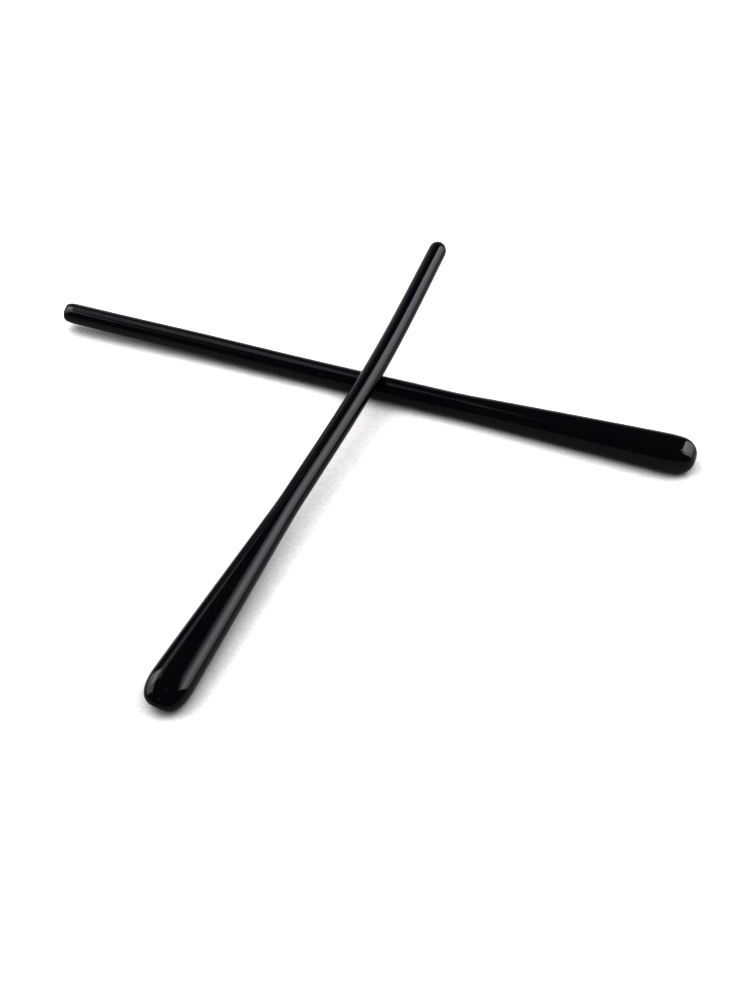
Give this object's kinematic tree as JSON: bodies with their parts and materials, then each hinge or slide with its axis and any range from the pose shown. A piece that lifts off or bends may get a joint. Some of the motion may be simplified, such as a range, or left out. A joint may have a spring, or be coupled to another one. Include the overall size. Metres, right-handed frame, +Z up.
{
  "type": "claves",
  "caption": "Claves: two slender gloss-black percussion sticks with slim blunt tips and flattened paddle ends, the striker laid across the resonator.",
  "frame": {"origin": "middle of the crossed pair's bounding box in plan, on the surface that the sticks lie on", "axes": "+Z up; +X to the right along the pair's longest extent, towards the resonator's paddle; +Y away from the striker's paddle, towards its tip"},
  "size_m": [0.1916, 0.1842, 0.0166],
  "materials": {
    "black_gloss": "deep polished black gloss, as moulded and buffed"
  },
  "bodies": {
    "resonator": {"resonator_stick": "black_gloss"},
    "striker": {"striker_stick": "black_gloss"}
  },
  "joints": [
    {"name": "striker_lift", "type": "slide", "parent": "resonator", "child": "striker", "axis": [0, 0, 1], "range_m": [0, 0.1]}
  ]
}
